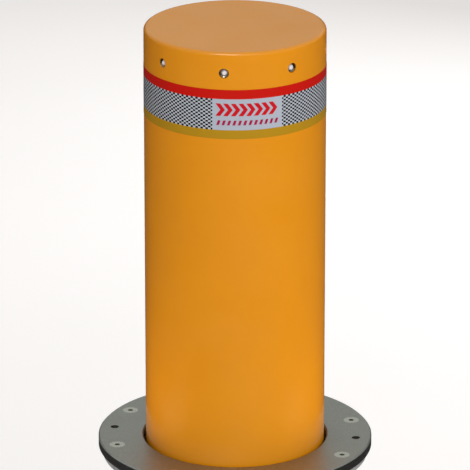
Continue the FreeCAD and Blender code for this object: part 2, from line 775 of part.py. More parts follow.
def hose_coupling():
    body = disc(HOSE_RADIUS + 1.6, 0, COUPLING_LENGTH * 0.5)
    body = body.fuse(hexagon(17.0, COUPLING_LENGTH * 0.5, COUPLING_LENGTH * 0.8))
    body = body.fuse(disc(PORT_RADIUS + 1.5, COUPLING_LENGTH * 0.8, COUPLING_LENGTH))
    bore = disc(PORT_RADIUS * 0.6, COUPLING_LENGTH * 0.3, COUPLING_LENGTH)
    return [along_y(body.cut(bore), *hose_end)]


# ---------------------------------------------------------------- electrics in the sump
def box_outline(inset, low, high):
    return block(
        -BOX_WIDTH / 2 + inset,
        BOX_WIDTH / 2 - inset,
        -box_centre - BOX_DEPTH / 2 + inset,
        -box_centre + BOX_DEPTH / 2 - inset,
        low,
        high,
    )


def box_screw_places():
    inset = 5.0
    return [
        (sx * (BOX_WIDTH / 2 - inset), -box_centre + sy * (BOX_DEPTH / 2 - inset))
        for sx in (-1, 1)
        for sy in (-1, 1)
    ]


def junction_box():
    box = box_outline(0, floor_z, box_top).cut(box_outline(BOX_WALL, floor_z + BOX_WALL, box_top))
    for x, y in box_screw_places():
        pillar = disc(4.0, floor_z + BOX_WALL, box_top, x, y).common(box_outline(0, floor_z, box_top))
        box = box.fuse(pillar)
    box = box.removeSplitter()
    for x, y in box_screw_places():
        box = box.cut(disc(BOX_SCREW_RADIUS, box_top - BOX_SCREW_GRIP, box_top, x, y))
    for side in (-1, 1):
        box = box.cut(side_gland_bar(side, 0, GLAND_NUT_RADIUS * 0.7, BOX_WALL))
    return [box]


def side_gland_bar(side, outwards, radius, inwards):
    """A bar along X through one end wall of the box, at gland height."""
    start = side * (BOX_WIDTH / 2 - inwards)
    length = outwards + inwards
    return Part.makeCylinder(radius, length, Vector(start, -box_centre, box_gland_z), Vector(side, 0, 0))


def junction_box_lid():
    lid = box_outline(0, box_top, lid_top)
    for x, y in box_screw_places():
        lid = lid.cut(disc(BOX_SCREW_RADIUS, box_top, lid_top, x, y))
    return [lid.cut(disc(GLAND_NUT_RADIUS * 0.7, box_top, lid_top, 0, -box_centre))]


def junction_box_screws():
    screw = cap_screw(BOX_SCREW_RADIUS, BOX_SCREW_GRIP + BOX_LID)
    return [placed(screw, x, y, lid_top) for x, y in box_screw_places()]


def cable_glands():
    """Three glands: supply cable and sensor cable at the ends of the box, lamp lead in the lid."""
    glands = []
    for side, cable in ((1, CABLE_RADIUS), (-1, SENSOR_CABLE_RADIUS)):
        gland = side_gland_bar(side, GLAND_NUT_LENGTH * 0.6, GLAND_NUT_RADIUS, 0)
        gland = gland.fuse(side_gland_bar(side, GLAND_NUT_LENGTH, GLAND_NUT_RADIUS * 0.8, 0))
        gland = gland.fuse(side_gland_bar(side, 0, GLAND_NUT_RADIUS * 0.7, BOX_WALL))
        glands.append(gland.cut(side_gland_bar(side, GLAND_NUT_LENGTH, cable + GLAND_BORE, BOX_WALL)))
    top = disc(GLAND_NUT_RADIUS, lid_top, lid_top + GLAND_NUT_LENGTH * 0.6, 0, -box_centre)
    top = top.fuse(disc(GLAND_NUT_RADIUS * 0.8, lid_top, coil_low, 0, -box_centre))
    top = top.fuse(disc(GLAND_NUT_RADIUS * 0.7, box_top, lid_top, 0, -box_centre))
    top = top.cut(disc(COIL_LEAD_RADIUS + GLAND_BORE, box_top, coil_low, 0, -box_centre))
    return glands + [top]


def supply_cable():
    """From the junction box along the floor, round the ram and into the conduit stub."""
    x_end, y_end, z_end = cable_end
    low = floor_z + CABLE_RADIUS + 1.0
    start = BOX_WIDTH / 2 - BOX_WALL
    route = [
        (start, -box_centre, box_gland_z),
        (start + 33.0, -box_centre, box_gland_z),
        (78.0, -54.0, low + 7.0),
        (90.0, -24.0, low + 1.0),
        (88.0, 12.0, low + 0.5),
        (75.0, 45.0, low + 1.0),
        (50.0, 73.0, low + 3.0),
        (25.0, 96.0, z_end - 4.0),
        (x_end, y_end - 30.0, z_end),
        cable_end,
    ]
    return [tube_along(route, CABLE_RADIUS)]


def supply_connector():
    body = disc(7.0, 0, COUPLING_LENGTH * 0.7).fuse(disc(5.5, 0, COUPLING_LENGTH))
    grooves = [ring(6.5, 7.5, z, z + 1.2) for z in (4.0, 7.0, 10.0)]
    return [along_y(cut_all(body, grooves), *cable_end)]


def sensor_mast():
    """A square tube on a foot plate that carries the two position sensors."""
    half = MAST_SIDE / 2
    post = block(-mast_centre - half, -mast_centre + half, -half, half, floor_z, mast_top)
    foot = block(
        -mast_centre - half, -mast_centre - half + MAST_FOOT * 0.8, -MAST_FOOT / 2, MAST_FOOT / 2,
        floor_z, floor_z + MAST_FOOT_THICKNESS,
    )
    inner = half - MAST_WALL
    hollow = block(-mast_centre - inner, -mast_centre + inner, -inner, inner, floor_z, mast_top)
    exit_start = Vector(-mast_centre, 0, sensor_exit_z())
    exit_hole = Part.makeCylinder(SENSOR_CABLE_RADIUS + GLAND_BORE, MAST_SIDE, exit_start, Vector(0, -1, 0))
    return [post.fuse(foot).removeSplitter().cut(hollow).cut(exit_hole)]


def sensor_exit_z():
    return floor_z + MAST_FOOT_THICKNESS + 10.0


def position_sensors():
    """Two sealed switches on the mast, level with the magnet when the post is up and down."""
    face = -mast_centre - MAST_SIDE / 2
    sensors = []
    for level in (raised_magnet_z, raised_magnet_z - travel):
        sensors.append(
            block(face - SENSOR_THICKNESS, face, -SENSOR_WIDTH / 2, SENSOR_WIDTH / 2,
                  level - SENSOR_HEIGHT / 2, level + SENSOR_HEIGHT / 2)
        )
    return sensors


def sensor_lead():
    """The switches' cable, from the foot of the mast to the junction box."""
    inside_box = -BOX_WIDTH / 2 + BOX_WALL
    exit_z = sensor_exit_z()
    route = [
        (-mast_centre, -MAST_SIDE / 2 + MAST_WALL, exit_z),
        (-mast_centre, -MAST_SIDE / 2 - 14.0, exit_z),
        (-mast_centre + 4.0, -box_centre + 22.0, (exit_z + box_gland_z) / 2),
        (inside_box - 34.0, -box_centre + 5.0, box_gland_z),
        (inside_box - 22.0, -box_centre, box_gland_z),
        (inside_box, -box_centre, box_gland_z),
    ]
    return [tube_along(route, SENSOR_CABLE_RADIUS)]


def grommet_hole():
    return COIL_RADIUS + 2.0


def lead_grommet():
    """A rubber grommet in the crosshead that holds the lamp lead's upper end."""
    hole, lip = grommet_hole(), GROMMET_LIP
    grommet = revolved(
        (COIL_LEAD_RADIUS + GLAND_BORE, crosshead_low - lip),
        (hole + lip, crosshead_low - lip),
        (hole + lip, crosshead_low),
        (hole, crosshead_low),
        (hole, crosshead_top),
        (hole + lip, crosshead_top),
        (hole + lip, crosshead_top + lip),
        (COIL_LEAD_RADIUS + GLAND_BORE, crosshead_top + lip),
    )
    return [placed(grommet, 0, -box_centre, 0)]


def coiled_lead():
    """The outer shape of the curly lead that feeds the lamps; it stretches and closes with the post."""
    return [disc(COIL_RADIUS, coil_low, crosshead_low - GROMMET_LIP - REST_GAP, 0, -box_centre)]


# ---------------------------------------------------------------- post and foot
def post_tube():
    return [ring(post_inner, POST_RADIUS, foot_flange_low, joint_z)]


def rail_notches(low, high):
    """Cutters that let the foot's rings pass the rails."""
    half = RAIL_WIDTH / 2 + RAIL_SIDE_GAP
    notch = block(rail_inner - RAIL_SIDE_GAP, casing_outer, -half, half, low, high)
    return all_round(notch, RAIL_ANGLES)


def foot_screw_angles():
    return even_angles(FOOT_SCREW_COUNT, 180.0 / FOOT_SCREW_COUNT)


def foot_screw_seat():
    """Level of the shoulder under which the foot screws' heads are sunk."""
    return foot_low + FOOT_GUIDE_HEIGHT * 0.45


def foot_flange():
    flange = ring(POST_RADIUS, foot_flange_outer, foot_flange_low, foot_top)
    hole = disc(FOOT_SCREW_RADIUS, foot_flange_low, foot_top, foot_screw_circle)
    cutters = rail_notches(foot_flange_low, foot_top) + all_round(hole, foot_screw_angles())
    return [cut_all(flange, cutters)]


def foot_guide_ring():
    """A plastic ring under the foot flange that slides on the casing wall."""
    lead_in = 2.0
    body = revolved(
        (foot_guide_inner, foot_low),
        (foot_guide_outer - lead_in, foot_low),
        (foot_guide_outer, foot_low + lead_in),
        (foot_guide_outer, foot_flange_low - lead_in),
        (foot_guide_outer - lead_in, foot_flange_low),
        (foot_guide_inner, foot_flange_low),
    )
    hole = disc(FOOT_SCREW_RADIUS, foot_low, foot_flange_low, foot_screw_circle)
    head = disc(1.6 * FOOT_SCREW_RADIUS, foot_low, foot_screw_seat(), foot_screw_circle)
    cutters = rail_notches(foot_low, foot_flange_low) + all_round(hole.fuse(head), foot_screw_angles())
    return [cut_all(body, cutters)]


def foot_guide_screws():
    length = foot_flange_low + FOOT_FLANGE_THICKNESS - 2.0 - foot_screw_seat()
    screw = cap_screw(FOOT_SCREW_RADIUS, length)
    screw.rotate(Vector(), Vector(1, 0, 0), 180)
    return all_round(placed(screw, foot_screw_circle, 0, foot_screw_seat()), foot_screw_angles())


def position_magnet():
    """A magnet bonded to the post's bore, opposite the sensors."""
    low, high = raised_magnet_z - SENSOR_HEIGHT / 3, raised_magnet_z + SENSOR_HEIGHT / 3
    inner = post_inner - MAGNET_THICKNESS
    bar = block(-POST_RADIUS, -inner, -SENSOR_WIDTH / 2, SENSOR_WIDTH / 2, low, high)
    return [bar.common(disc(post_inner, low, high))]


def warning_band():
    """The printed reflective film round the post, just under the head cap."""
    return [ring(POST_RADIUS, band_radius, joint_z - BAND_WIDTH, joint_z)]


# ---------------------------------------------------------------- head cap and lamps
def lamp_angles():
    return even_angles(LAMP_COUNT, -90.0)


def lamp_seat():
    """How far from the axis the lamp pockets' floors are."""
    return POST_RADIUS - LAMP_POCKET_DEPTH


def head_cap():
    cap = revolved(
        (0, cap_ceiling),
        (post_inner, cap_ceiling),
        (post_inner, joint_z),
        (POST_RADIUS, joint_z),
        (POST_RADIUS, head_top),
        (0, head_top),
    )
    rim = [e for e in cap.Edges if e.BoundBox.ZMin > head_top - 0.01 and e.BoundBox.XLength > POST_RADIUS]
    cap = cap.makeFillet(CAP_EDGE_RADIUS, rim)
    pocket = spoke(LAMP_POCKET_RADIUS, lamp_seat(), POST_RADIUS + 1, lamp_z)
    barrel = spoke(LAMP_BARREL_RADIUS, post_inner / 2, lamp_seat(), lamp_z)
    screw = spoke(SET_SCREW_RADIUS, post_inner / 2, POST_RADIUS + 1, set_screw_z())
    return [cut_all(cap, all_round(pocket.fuse(barrel), lamp_angles()) + all_round(screw, SET_SCREW_ANGLES))]


def set_screw_z():
    return joint_z + SET_SCREW_ABOVE_JOINT


def cap_seal_z():
    return collar_high - CAP_SEAL_SECTION / 2 - 0.9


def head_collar():
    """A ring welded in the top of the post. The cap drops over it, and three set screws hold the cap."""
    inner = post_inner - COLLAR_WALL
    collar = revolved(
        (inner, collar_low),
        (post_inner, collar_low),
        (post_inner, joint_z),
        (post_inner - COLLAR_FIT_GAP, joint_z),
        (post_inner - COLLAR_FIT_GAP, collar_high),
        (inner, collar_high),
    )
    groove_floor = post_inner - COLLAR_FIT_GAP - CAP_SEAL_SINK - CAP_SEAL_SECTION / 2
    half = CAP_SEAL_SECTION / 2
    groove = ring(groove_floor, post_inner, cap_seal_z() - half, cap_seal_z() + half)
    dimple = spoke(SET_SCREW_RADIUS, post_inner - 3.0, POST_RADIUS, set_screw_z())
    return [cut_all(collar, [groove] + all_round(dimple, SET_SCREW_ANGLES))]


def cap_seal():
    centre = post_inner - COLLAR_FIT_GAP - CAP_SEAL_SINK
    return [Part.makeTorus(centre, CAP_SEAL_SECTION / 2, Vector(0, 0, cap_seal_z()), UP)]


def cap_set_screws():
    start, end = post_inner - 3.0, POST_RADIUS - 0.8
    screw = spoke(SET_SCREW_RADIUS, start, end, set_screw_z())
    socket = laid_along_x(hexagon(SET_SCREW_RADIUS, end - 2.5, end))
    socket.translate(Vector(0, 0, set_screw_z()))
    return all_round(screw.cut(socket), SET_SCREW_ANGLES)


def lamp_bezels():
    """Chromed bezels: a dished rim in the pocket, and a threaded barrel through the cap."""
    seat = lamp_seat()
    outer = LAMP_POCKET_RADIUS - 0.2
    bezel = revolved(
        (LAMP_RADIUS, lamp_back),
        (LAMP_BARREL_RADIUS, lamp_back),
        (LAMP_BARREL_RADIUS, seat),
        (outer, seat),
        (outer, seat + LAMP_RIM_HEIGHT),
        (outer - LAMP_RIM, seat + LAMP_RIM_HEIGHT),
        (LAMP_RADIUS, seat + 0.2),
    )
    bezel = laid_along_x(bezel)
    bezel.translate(Vector(0, 0, lamp_z))
    return all_round(bezel, lamp_angles())


def lamp_lenses():
    """Clear lamp bodies: a domed nose in the dish and a straight body in the barrel."""
    nose = POST_RADIUS - LAMP_RECESS - LAMP_RADIUS
    lamp = disc(LAMP_RADIUS, lamp_back + 1.0, nose).fuse(Part.makeSphere(LAMP_RADIUS, Vector(0, 0, nose)))
    lamp = laid_along_x(lamp.removeSplitter())
    lamp.translate(Vector(0, 0, lamp_z))
    return all_round(lamp, lamp_angles())


def lamp_nuts():
    """Nuts that pull the bezels tight from inside; the cap's bore is round, so each has a saddle back."""
    flats_level = 30
    nut = turn(hexagon(LAMP_NUT_FLATS, post_inner - LAMP_NUT_THICKNESS, post_inner + 1.0), flats_level)
    nut = laid_along_x(nut.cut(disc(LAMP_BARREL_RADIUS, 0, POST_RADIUS)))
    nut.translate(Vector(0, 0, lamp_z))
    inside = disc(post_inner, lamp_z - LAMP_NUT_FLATS, lamp_z + LAMP_NUT_FLATS)
    return all_round(nut.common(inside), lamp_angles())


def board_screw_angles():
    return even_angles(STANDOFF_COUNT, 67.5)


def lamp_board():
    board = ring(BOARD_INNER, board_outer, board_z, board_z + BOARD_THICKNESS)
    hole = disc(BOARD_SCREW_RADIUS, board_z, board_z + BOARD_THICKNESS, standoff_circle)
    board = cut_all(board, all_round(hole, board_screw_angles()))
    driver = block(-9, 9, standoff_circle - 9, standoff_circle + 9, board_z - 3.5, board_z)
    socket = block(-7, 7, -box_centre - 6, -box_centre + 6, board_z - BOARD_SOCKET_HEIGHT, board_z)
    part = block(standoff_circle - 5, standoff_circle + 5, -3, 3, board_z - 2.2, board_z)
    for piece in [driver, socket] + all_round(part, (0.0, 22.0, 135.0, 180.0, 202.0)):
        board = board.fuse(piece)
    return [board]


def board_standoffs():
    pillar = hexagon(2 * STANDOFF_RADIUS, board_z + BOARD_THICKNESS, cap_ceiling, standoff_circle)
    hole_top = board_z + BOARD_THICKNESS + BOARD_SCREW_GRIP
    pillar = pillar.cut(disc(BOARD_SCREW_RADIUS, board_z, hole_top, standoff_circle))
    return all_round(pillar, board_screw_angles())


def board_screws():
    screw = cap_screw(BOARD_SCREW_RADIUS, BOARD_THICKNESS + BOARD_SCREW_GRIP)
    screw.rotate(Vector(), Vector(1, 0, 0), 180)
    return all_round(placed(screw, standoff_circle, 0, board_z), board_screw_angles())


def lamp_leads():
    """One short lead from the board to each lamp, and the trunk lead from the grommet to the board."""
    end = lamp_back + 1.0
    board_top = board_z + BOARD_THICKNESS
    root = board_outer - 12.0
    lift = board_top + LAMP_LEAD_LIFT
    route = [
        (root, 0, board_top),
        (root, 0, lift),
        (root + 7.0, 0, lift + 3.0),
        (root + 14.0, 0, lift - 1.0),
        (end - 7.0, 0, lamp_z),
        (end, 0, lamp_z),
    ]
    leads = all_round(tube_along(route, LAMP_LEAD_RADIUS), lamp_angles())
    trunk = disc(COIL_LEAD_RADIUS, crosshead_low - GROMMET_LIP, board_z - BOARD_SOCKET_HEIGHT, 0, -box_centre)
    return leads + [trunk]


# ---------------------------------------------------------------- writing the sub-parts
SUBPARTS = (
    casing_tube, casing_flange, casing_base_plate, anchor_lugs, drain_stub, drain_strainer, conduit_stub,
    ground_ring, ground_ring_screws, wiper_seal, seal_clamp_ring, guide_sleeve, guide_sleeve_screws,
    upper_guide_bush, lower_guide_bush, raised_stop_bumper, landing_bumpers, guide_rails, guide_rail_screws,
    ram_base, ram_base_screws, ram_barrel, ram_gland, rod_wiper, hose_nipple, pressure_hose, hose_coupling,
    junction_box, junction_box_lid, junction_box_screws, cable_glands, supply_cable, supply_connector,
    sensor_mast, position_sensors, sensor_lead, coiled_lead,
    post_tube, foot_flange, foot_guide_ring, foot_guide_screws, position_magnet, crosshead, rod_nuts,
    piston_rod, piston, piston_seals, lead_grommet,
    head_cap, head_collar, cap_seal, cap_set_screws, warning_band,
    lamp_board, board_standoffs, board_screws, lamp_bezels, lamp_lenses, lamp_nuts, lamp_leads,
)

os.makedirs("parts", exist_ok=True)
for subpart in SUBPARTS:
    solids = [solid for shape in subpart() for solid in shape.Solids]
    shape = solids[0] if len(solids) == 1 else Part.makeCompound(solids)
    if not shape.isValid():
        raise ValueError(subpart.__name__ + " is not a valid shape")
    shape.exportStep("parts/" + subpart.__name__ + ".step")
    print("%-22s %2d solids %10.0f mm3" % (subpart.__name__, len(solids), shape.Volume))
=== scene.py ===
"""Looks of the retractable bollard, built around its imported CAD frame. Metres, +Z up, front towards -Y."""

import json
import math

import bmesh
import bpy
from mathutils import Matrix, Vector


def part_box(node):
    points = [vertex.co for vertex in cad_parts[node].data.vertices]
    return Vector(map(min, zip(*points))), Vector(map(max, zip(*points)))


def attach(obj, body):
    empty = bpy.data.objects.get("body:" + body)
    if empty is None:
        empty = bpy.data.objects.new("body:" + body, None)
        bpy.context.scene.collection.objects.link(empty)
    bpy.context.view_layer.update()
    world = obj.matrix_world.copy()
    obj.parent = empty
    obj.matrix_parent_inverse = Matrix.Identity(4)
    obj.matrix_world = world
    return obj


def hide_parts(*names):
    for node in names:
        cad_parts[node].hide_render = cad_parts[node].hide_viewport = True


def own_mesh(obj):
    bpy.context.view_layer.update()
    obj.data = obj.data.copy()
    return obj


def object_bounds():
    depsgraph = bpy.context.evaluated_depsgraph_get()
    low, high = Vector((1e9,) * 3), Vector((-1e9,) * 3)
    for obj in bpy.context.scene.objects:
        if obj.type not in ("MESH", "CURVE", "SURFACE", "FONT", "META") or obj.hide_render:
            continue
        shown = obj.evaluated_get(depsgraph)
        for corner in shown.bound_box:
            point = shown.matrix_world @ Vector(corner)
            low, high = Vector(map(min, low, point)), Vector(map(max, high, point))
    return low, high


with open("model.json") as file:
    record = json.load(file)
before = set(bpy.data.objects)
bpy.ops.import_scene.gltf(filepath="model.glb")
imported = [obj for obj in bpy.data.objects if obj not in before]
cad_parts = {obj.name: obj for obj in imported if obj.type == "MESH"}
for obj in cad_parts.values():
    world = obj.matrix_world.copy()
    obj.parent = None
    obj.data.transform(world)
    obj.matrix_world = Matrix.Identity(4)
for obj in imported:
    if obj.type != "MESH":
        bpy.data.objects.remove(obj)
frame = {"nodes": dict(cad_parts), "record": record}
cad_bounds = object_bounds()

MM = 0.001


# ---------------------------------------------------------------- sizes read from the frame
def half_width(node):
    low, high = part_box(node)
    return (high.x - low.x) / 2


def low_z(node):
    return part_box(node)[0].z


def high_z(node):
    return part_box(node)[1].z


post_radius = half_width("post_tube")
casing_radius = half_width("casing_tube")
head_top = high_z("head_cap")
joint_z = low_z("head_cap")
casing_floor = low_z("casing_tube")
casing_rim = high_z("casing_tube")
floor_z = cad_bounds[0][2]


# ---------------------------------------------------------------- material graphs
class Nodes:
    """A node tree, with a short call for each kind of node. Inputs are numbers, colours or other outputs."""

    def __init__(self, tree):
        self.tree = tree

    def feed(self, socket, value):
        if isinstance(value, bpy.types.NodeSocket):
            self.tree.links.new(value, socket)
        else:
            socket.default_value = value

    def node(self, kind, inputs, output=0, **settings):
        made = self.tree.nodes.new("ShaderNode" + kind)
        for key, value in settings.items():
            setattr(made, key, value)
        for key, value in inputs.items():
            self.feed(made.inputs[key], value)
        return made.outputs[output]

    def coordinates(self, kind):
        return self.node("TexCoord", {}, kind)

    def split(self, vector):
        made = self.tree.nodes.new("ShaderNodeSeparateXYZ")
        self.feed(made.inputs[0], vector)
        return made.outputs[0], made.outputs[1], made.outputs[2]

    def spread(self, value, low, high, to_low=0.0, to_high=1.0):
        """Maps low..high to to_low..to_high and clamps."""
        return self.node("MapRange", {0: value, 1: low, 2: high, 3: to_low, 4: to_high})

    def mix(self, share, a, b):
        """Colour a where share is 0, colour b where it is 1."""
        return self.node("Mix", {0: share, 6: rgb(a), 7: rgb(b)}, 2, data_type="RGBA")

    def seen_by(self, ray):
        """1 for that kind of ray, such as Camera or Glossy, else 0."""
        return self.node("LightPath", {}, "Is %s Ray" % ray)


class Graph(Nodes):
    """A material's node tree around one Principled shader."""

    def __init__(self, name, **sockets):
        self.material = bpy.data.materials.new(name)
        self.material.use_nodes = True
        super().__init__(self.material.node_tree)
        self.tree.nodes.clear()
        self.shader = self.tree.nodes.new("ShaderNodeBsdfPrincipled")
        output = self.tree.nodes.new("ShaderNodeOutputMaterial")
        self.tree.links.new(self.shader.outputs["BSDF"], output.inputs["Surface"])
        for socket, value in sockets.items():
            self.put(socket.replace("_", " ").title().replace("Ior", "IOR"), value)

    def put(self, socket, value):
        """Sets an input of the shader, or links it to another node's output."""
        self.feed(self.shader.inputs[socket], value)

    def place(self):
        """The point in the object's own frame, in metres."""
        return self.coordinates("Object")

    def math(self, operation, a, b=0.0):
        return self.node("Math", {0: a, 1: b}, operation=operation)

    def join(self, x, y, z):
        return self.node("CombineXYZ", {0: x, 1: y, 2: z})

    def noise(self, where, scale, detail=3.0, rough=0.5, distortion=0.0):
        inputs = {"Vector": where, "Scale": scale, "Detail": detail}
        inputs.update({"Roughness": rough, "Distortion": distortion})
        return self.node("TexNoise", inputs, "Fac")

    def within(self, value, low, high):
        """1 where value lies between low and high, else 0."""
        from_middle = self.math("ABSOLUTE", self.math("SUBTRACT", value, (low + high) / 2))
        return self.math("LESS_THAN", from_middle, (high - low) / 2)

    def bars(self, along, start, pitch, share, count):
        """1 on the first share of each of count pitches from start, else 0."""
        past = self.math("SUBTRACT", along, start)
        phase = self.math("FLOORED_MODULO", self.math("DIVIDE", past, pitch), 1.0)
        drawn = self.math("LESS_THAN", phase, share)
        return self.math("MULTIPLY", drawn, self.within(past, 0.0, count * pitch))

    def bump(self, height, strength, distance):
        return self.node("Bump", {"Height": height, "Strength": strength, "Distance": distance})

    def around(self):
        """Angle about the axis from the front (radians, towards +X), distance from the axis, and height."""
        x, y, z = self.split(self.place())
        angle = self.math("ARCTAN2", x, self.math("MULTIPLY", y, -1.0))
        squares = self.math("ADD", self.math("MULTIPLY", x, x), self.math("MULTIPLY", y, y))
        return angle, self.math("SQRT", squares), z


def rgb(value):
    """Lets a colour be written as three numbers."""
    return (*value, 1.0) if isinstance(value, tuple) and len(value) == 3 else value


def grey(value):
    return (value, value, value)


# ---------------------------------------------------------------- materials
PAINT_DEEP = (0.755, 0.281, 0.0060)
PAINT_BRIGHT = (0.785, 0.299, 0.0072)

BAND_RED = (0.56, 0.007, 0.0025)
BAND_MUSTARD = (0.445, 0.25, 0.009)
BAND_SILVER = (0.50, 0.545, 0.615)
BAND_SILVER_DULL = (0.45, 0.495, 0.565)
BAND_BLACK = (0.006, 0.007, 0.009)
PANEL_SILVER = (0.42, 0.47, 0.56)
PANEL_RED = (0.56, 0.006, 0.015)
PANEL_CRIMSON = (0.36, 0.006, 0.06)

STRIPE_WIDTH = 11.5 * MM
MUSTARD_WIDTH = 11.0 * MM
CHECK_COLUMNS = 216
CHECK_ROWS = 17
PANEL_ANGLE = math.radians(15.0)        # panel's middle, from the front towards +X
PANEL_HALF_ANGLE = math.radians(22.2)
ARROW_ROW = (5.4 * MM, 21.0 * MM)       # a row's top and foot below the red stripe
ARROW_START, ARROW_PITCH, ARROW_COUNT = -33.0 * MM, 9.1 * MM, 8
DASH_ROW = (26.4 * MM, 32.4 * MM)
DASH_START, DASH_PITCH, DASH_COUNT = -38.0 * MM, 6.4 * MM, 12


def signal_paint():
    """Gloss yellow-orange powder coat: faint orange peel, faint unevenness in colour and gloss."""
    g = Graph("signal_paint", ior=1.5)
    place = g.place()
    uneven = g.noise(place, 9.0, 4.0, 0.6)
    g.put("Base Color", g.mix(g.spread(uneven, 0.3, 0.7), PAINT_DEEP, PAINT_BRIGHT))
    g.put("Roughness", g.spread(g.noise(place, 24.0, 3.0), 0.3, 0.7, 0.15, 0.24))
    peel = g.noise(place, 420.0, 2.0, 0.4)
    g.put("Normal", g.bump(peel, 0.05, 0.0006))
    return g.material


def reflective_film():
    """Printed film: red stripe, black and silver check with a chevron panel, mustard stripe."""
    g = Graph("reflective_film", ior=1.35)
    angle, _, z = g.around()
    top = high_z("warning_band")
    depth = g.math("SUBTRACT", top, z)
    check_top, check_low = STRIPE_WIDTH, top - low_z("warning_band") - MUSTARD_WIDTH
    row_height = (check_low - check_top) / CHECK_ROWS
    in_check = g.math("SUBTRACT", depth, check_top)

    column = g.math("FLOOR", g.math("MULTIPLY", angle, CHECK_COLUMNS / (2 * math.pi)))
    row = g.math("FLOOR", g.math("DIVIDE", in_check, row_height))
    parity = g.math("FLOORED_MODULO", g.math("ADD", column, row), 2.0)
    beads = g.noise(g.place(), 2600.0, 2.0)
    silver = g.mix(g.spread(beads, 0.35, 0.65), BAND_SILVER_DULL, BAND_SILVER)
    check = g.mix(parity, silver, BAND_BLACK)

    offset = g.math("SUBTRACT", angle, PANEL_ANGLE)
    in_panel = g.math("LESS_THAN", g.math("ABSOLUTE", offset), PANEL_HALF_ANGLE)
    across = g.math("MULTIPLY", offset, post_radius)
    panel = chevrons(g, across, in_check)
    middle = g.mix(in_panel, check, panel)

    below_red = g.math("GREATER_THAN", in_check, 0.0)
    below_check = g.math("GREATER_THAN", depth, check_low)
    g.put("Base Color", g.mix(below_check, g.mix(below_red, BAND_RED, middle), BAND_MUSTARD))
    g.put("Roughness", g.spread(beads, 0.3, 0.7, 0.16, 0.28))
    g.put("Normal", g.bump(beads, 0.06, 0.0002))
    return g.material


def chevrons(g, across, down):
    """A plain panel: a row of arrow-shaped bars, and a row of thin slanted bars below it."""
    slant = g.math("ABSOLUTE", g.math("SUBTRACT", down, sum(ARROW_ROW) / 2))
    along = g.math("ADD", across, g.math("MULTIPLY", slant, 0.75))
    arrows = g.bars(along, ARROW_START, ARROW_PITCH, 0.62, ARROW_COUNT)
    arrows = g.math("MULTIPLY", arrows, g.within(down, *ARROW_ROW))

    along = g.math("ADD", across, g.math("MULTIPLY", g.math("SUBTRACT", down, DASH_ROW[1]), 0.35))
    dashes = g.bars(along, DASH_START, DASH_PITCH, 0.5, DASH_COUNT)
    dashes = g.math("MULTIPLY", dashes, g.within(down, *DASH_ROW))

    return g.mix(arrows, g.mix(dashes, PANEL_SILVER, PANEL_CRIMSON), PANEL_RED)


def galvanised_steel():
    """Hot-dip zinc: leaf-like spangles of slightly different greys, with dull patches."""
    g = Graph("galvanised_steel", metallic=0.5)
    place = g.place()
    bent = g.node("VectorMath", {0: place, 1: warp(g, place, 30.0, 0.006)}, operation="ADD")
    cell = g.node("TexVoronoi", {"Vector": bent, "Scale": 120.0}, "Color", feature="F1")
    tone = g.node("SeparateColor", {0: cell}, 0)
    dull = g.noise(place, 5.0, 4.0, 0.6)
    spangle = g.mix(tone, (0.42, 0.435, 0.45), (0.56, 0.575, 0.59))
    g.put("Base Color", g.mix(g.spread(dull, 0.42, 0.7, 0.0, 0.55), spangle, (0.43, 0.44, 0.45)))
    g.put("Roughness", g.math("ADD", g.spread(tone, 0, 1, 0.30, 0.44), g.spread(dull, 0.4, 0.7, 0.0, 0.15)))
    g.put("Normal", g.bump(g.noise(place, 60.0, 3.0), 0.12, 0.0008))
    return g.material


def warp(g, place, scale, amount):
    shift = g.node("TexNoise", {"Vector": place, "Scale": scale, "Detail": 2.0}, "Color")
    centred = g.node("VectorMath", {0: shift, 1: (0.5, 0.5, 0.5)}, operation="SUBTRACT")
    return g.node("VectorMath", {0: centred, "Scale": amount}, operation="SCALE")


def turned_steel(name, light, dark, finish):
    """Steel turned on a lathe: fine rings about the axis, scuffs, faint stains. finish is its roughness."""
    g = Graph(name, metallic=1.0)
    angle, distance, z = g.around()
    rings = g.noise(g.join(g.math("MULTIPLY", angle, 0.012), distance, z), 1900.0, 2.0, 0.6)
    place = g.place()
    stain = g.noise(place, 14.0, 4.0, 0.65)
    scuff = g.noise(place, 150.0, 5.0, 0.7, 0.6)
    worn = g.spread(scuff, 0.60, 0.68)
    tone = g.mix(g.spread(rings, 0.3, 0.7), dark, light)
    g.put("Base Color", g.mix(g.spread(stain, 0.5, 0.75, 0.0, 0.45), tone, dark))
    sheen = g.spread(rings, 0.3, 0.7, finish - 0.06, finish + 0.06)
    g.put("Roughness", g.math("ADD", sheen, g.math("MULTIPLY", worn, 0.12)))
    g.put("Normal", g.bump(rings, 0.10, 0.0002))
    return g.material


def stainless_steel():
    return turned_steel("stainless_steel", (0.80, 0.79, 0.78), (0.66, 0.655, 0.65), 0.30)


def worn_stainless():
    """The ground ring's steel, dulled and darkened by the tyres and feet that cross it."""
    return turned_steel("worn_stainless", (0.42, 0.415, 0.41), (0.27, 0.265, 0.26), 0.42)


def bare_steel():
    return turned_steel("bare_steel", grey(0.44), grey(0.33), 0.34)


def plated_fasteners():
    """Zinc-plated screws and fittings, slightly warm, with handling marks."""
    g = Graph("plated_fasteners", metallic=1.0)
    place = g.place()
    marks = g.noise(place, 700.0, 4.0, 0.6)
    g.put("Base Color", g.mix(g.spread(marks, 0.35, 0.65), (0.46, 0.45, 0.42), (0.62, 0.61, 0.58)))
    g.put("Roughness", g.spread(marks, 0.3, 0.7, 0.22, 0.38))
    g.put("Normal", g.bump(marks, 0.08, 0.0002))
    return g.material


